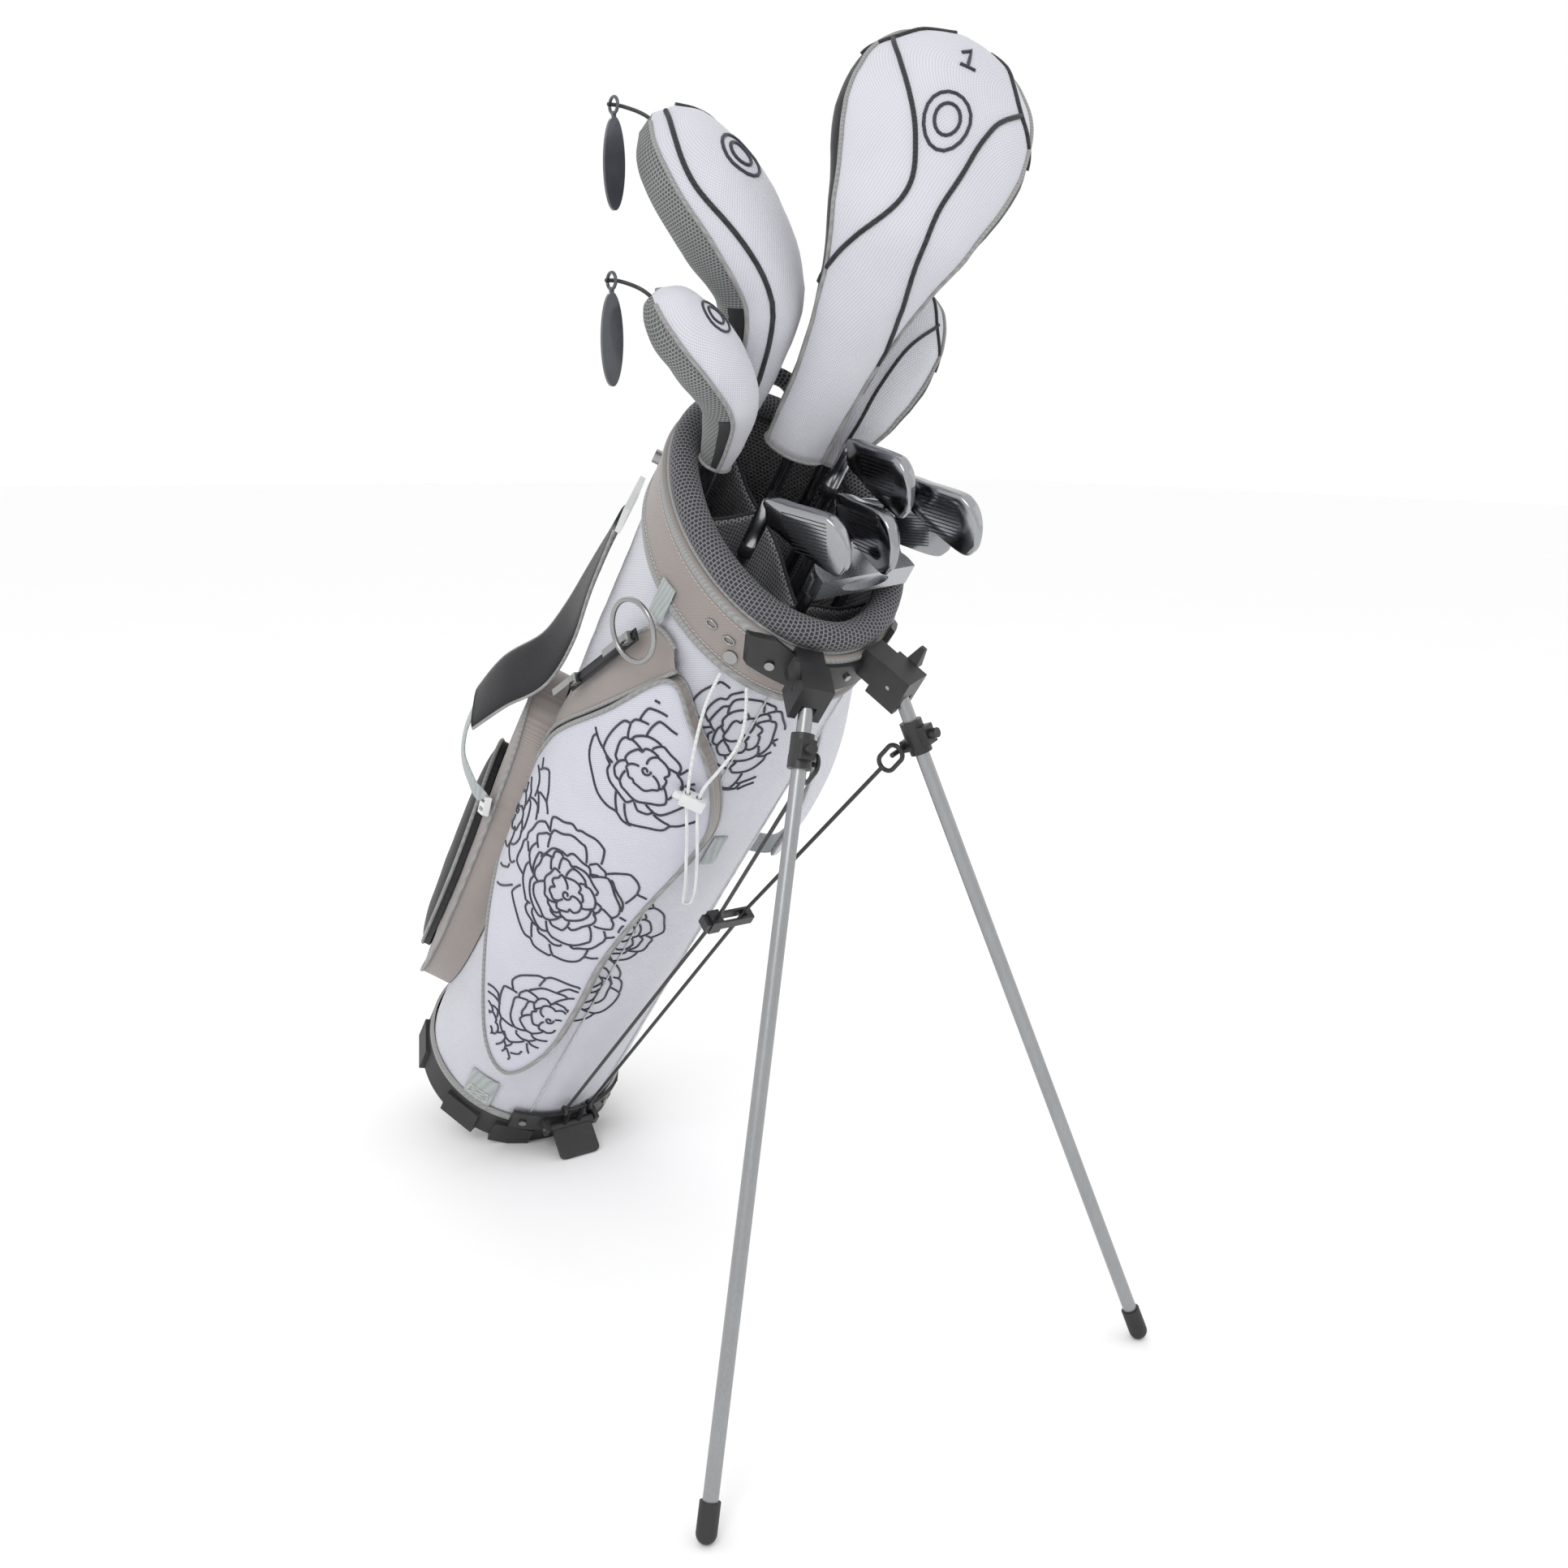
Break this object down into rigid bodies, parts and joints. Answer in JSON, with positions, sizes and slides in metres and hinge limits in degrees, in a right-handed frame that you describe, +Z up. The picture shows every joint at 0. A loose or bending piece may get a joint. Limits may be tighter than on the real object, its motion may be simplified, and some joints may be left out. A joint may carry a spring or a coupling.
{
  "type": "golf club set in a stand bag",
  "caption": "Golf stand bag leaning on two fold-out legs, holding covered woods, bladed irons and a mallet putter, with pockets, straps and drawstring.",
  "frame": {"origin": "centre of the bounding box bottom face, on the floor the bag stands on", "axes": "+Z up; the bag leans towards -Y onto its legs; the decorated pocket is on the -X side"},
  "size_m": [0.48, 0.8514, 1.0882],
  "materials": {
    "bag_fabric": "woven nylon, faint lavender white",
    "collar_satin": "taupe satin",
    "cuff_mesh": "dark spacer mesh",
    "divider_mesh": "black mesh",
    "pocket_leather": "printed nylon",
    "taupe_fabric": "satin nylon",
    "black_pad": "padded fabric",
    "webbing": "webbing",
    "base_rubber": "moulded rubber",
    "black_plastic": "fine texture",
    "white_plastic": "smooth",
    "aluminium": "satin anodised",
    "black_steel": "black wire",
    "steel": "satin",
    "chrome": "polished",
    "head_metal": "dark polished",
    "putter_metal": "satin",
    "wood_metal": "dark gloss",
    "cover_fabric": "white nylon",
    "tag_plastic": "smooth",
    "cord_white": "braided cord"
  },
  "bodies": {
    "bag": {"bag_body": "bag_fabric", "collar_band": "collar_satin", "cuff_rim": "cuff_mesh", "club_dividers": "divider_mesh", "back_handle": "black_pad", "base_cup": "base_rubber", "webbing_tabs": "webbing", "side_pocket": "pocket_leather", "pocket_yoke": "bag_fabric", "pocket_zipper": "black_pad", "back_pocket": "taupe_fabric", "hip_pad": "black_pad", "strap_near": "black_pad", "strap_far": "black_pad", "strap_buckles": "white_plastic", "stand_bracket": "black_plastic", "hinge_pins": "steel", "base_bracket": "black_plastic", "rivets_and_snaps": "steel", "drawstring": "cord_white"},
    "zipper_pull_upper": {"zipper_pull_upper": "steel"},
    "zipper_pull_lower": {"zipper_pull_lower": "steel"},
    "o_ring": {"o_ring": "steel"},
    "cord_toggle": {"cord_toggle": "white_plastic"},
    "leg_left": {"leg_tube_left": "aluminium", "leg_foot_left": "base_rubber", "leg_clamp_left": "black_plastic"},
    "rod_left": {"linkage_rod_left": "black_steel", "bridge_clip": "black_plastic"},
    "leg_right": {"leg_tube_right": "aluminium", "leg_foot_right": "base_rubber", "leg_clamp_right": "black_plastic"},
    "rod_right": {"linkage_rod_right": "black_steel"},
    "pedal": {"pedal_plate": "black_plastic"},
    "driver": {"driver_head": "wood_metal", "driver_shaft": "chrome", "driver_cover": "cover_fabric"},
    "fairway": {"fairway_head": "wood_metal", "fairway_shaft": "chrome", "fairway_cover": "cover_fabric"},
    "hybrid": {"hybrid_head": "wood_metal", "hybrid_shaft": "chrome", "hybrid_cover": "cover_fabric"},
    "rescue": {"rescue_head": "wood_metal", "rescue_shaft": "chrome", "rescue_cover": "cover_fabric"},
    "sand_wedge": {"sand_wedge_head": "head_metal", "sand_wedge_shaft": "chrome"},
    "nine_iron": {"nine_iron_head": "head_metal", "nine_iron_shaft": "chrome"},
    "pitching_wedge": {"pitching_wedge_head": "head_metal", "pitching_wedge_shaft": "chrome"},
    "eight_iron": {"eight_iron_head": "head_metal", "eight_iron_shaft": "chrome"},
    "seven_iron": {"seven_iron_head": "head_metal", "seven_iron_shaft": "chrome"},
    "putter": {"putter_head": "putter_metal", "putter_shaft": "chrome"},
    "fairway_tag": {"fairway_tag": "tag_plastic"},
    "hybrid_tag": {"hybrid_tag": "tag_plastic"}
  },
  "joints": [
    {"name": "leg_fold_left", "type": "hinge", "parent": "bag", "child": "leg_left", "pos_m": [-0.045, -0.27541, 0.59038], "axis": [0.9328, -0.2756, -0.2322], "range_deg": [0, 55.73]},
    {"name": "leg_fold_right", "type": "hinge", "parent": "bag", "child": "leg_right", "pos_m": [0.045, -0.27541, 0.59038], "axis": [0.9328, 0.2756, 0.2322], "range_deg": [0, 55.73]},
    {"name": "pedal_swing", "type": "hinge", "parent": "bag", "child": "pedal", "pos_m": [0, 0.20791, 0.03049], "axis": [1, 0, 0], "range_deg": [0, 70]},
    {"name": "rod_tilt_left", "type": "hinge", "parent": "pedal", "child": "rod_left", "pos_m": [-0.015, 0.19287, 0.0543], "axis": [-0.9992, 0.0254, -0.0306], "range_deg": [0, 76.44]},
    {"name": "rod_tilt_right", "type": "hinge", "parent": "pedal", "child": "rod_right", "pos_m": [0.015, 0.19287, 0.0543], "axis": [-0.9992, -0.0254, 0.0306], "range_deg": [0, 76.44]},
    {"name": "zip_slide_upper", "type": "slide", "parent": "bag", "child": "zipper_pull_upper", "axis": [-0.0084, -0.8911, 0.4538], "range_m": [-0.03, 0]},
    {"name": "zip_slide_lower", "type": "slide", "parent": "bag", "child": "zipper_pull_lower", "axis": [-0.0084, -0.8911, 0.4538], "range_m": [0, 0.03]},
    {"name": "ring_swing", "type": "hinge", "parent": "bag", "child": "o_ring", "pos_m": [-0.12931, -0.16584, 0.65043], "axis": [-0.1908, 0.7693, 0.6097], "range_deg": [0, 80]},
    {"name": "toggle_slide", "type": "slide", "parent": "bag", "child": "cord_toggle", "axis": [0.2217, 0.4665, -0.8563], "range_m": [0, 0.006]},
    {"name": "driver_lift", "type": "slide", "parent": "bag", "child": "driver", "axis": [0.0012, -0.6202, 0.7845], "range_m": [0, 0.84]},
    {"name": "fairway_lift", "type": "slide", "parent": "bag", "child": "fairway", "axis": [-0.0037, -0.6008, 0.7994], "range_m": [0, 0.035]},
    {"name": "hybrid_lift", "type": "slide", "parent": "bag", "child": "hybrid", "axis": [-0.0037, -0.6173, 0.7867], "range_m": [0, 0.655]},
    {"name": "rescue_lift", "type": "slide", "parent": "bag", "child": "rescue", "axis": [0.0024, -0.6163, 0.7875], "range_m": [0, 0.065]},
    {"name": "sand_wedge_lift", "type": "slide", "parent": "bag", "child": "sand_wedge", "axis": [0, -0.6221, 0.7829], "range_m": [0, 0.84]},
    {"name": "nine_iron_lift", "type": "slide", "parent": "bag", "child": "nine_iron", "axis": [0.0024, -0.6221, 0.7829], "range_m": [0, 0.635]},
    {"name": "pitching_wedge_lift", "type": "slide", "parent": "bag", "child": "pitching_wedge", "axis": [0.0024, -0.6211, 0.7837], "range_m": [0, 0.015]},
    {"name": "eight_iron_lift", "type": "slide", "parent": "bag", "child": "eight_iron", "axis": [0.0024, -0.6211, 0.7837], "range_m": [0, 0.735]},
    {"name": "seven_iron_lift", "type": "slide", "parent": "bag", "child": "seven_iron", "axis": [0.0024, -0.6221, 0.7829], "range_m": [0, 0.555]},
    {"name": "putter_lift", "type": "slide", "parent": "bag", "child": "putter", "axis": [-0.0024, -0.6269, 0.7791], "range_m": [0, 0.004]},
    {"name": "fairway_tag_swing", "type": "hinge", "parent": "fairway", "child": "fairway_tag", "pos_m": [-0.13648, -0.13767, 1.02976], "axis": [1, 0, 0], "range_deg": [-25, 25]},
    {"name": "hybrid_tag_swing", "type": "hinge", "parent": "hybrid", "child": "hybrid_tag", "pos_m": [-0.16937, -0.18877, 0.89668], "axis": [1, 0, 0], "range_deg": [-25, 25]}
  ],
  "couplings": [
    {"joint": "leg_fold_right", "follows": "leg_fold_left", "ratio": 1},
    {"joint": "pedal_swing", "follows": "leg_fold_left", "ratio": 1.2562},
    {"joint": "rod_tilt_left", "follows": "leg_fold_left", "ratio": 1.3716},
    {"joint": "rod_tilt_right", "follows": "leg_fold_left", "ratio": 1.3716}
  ]
}
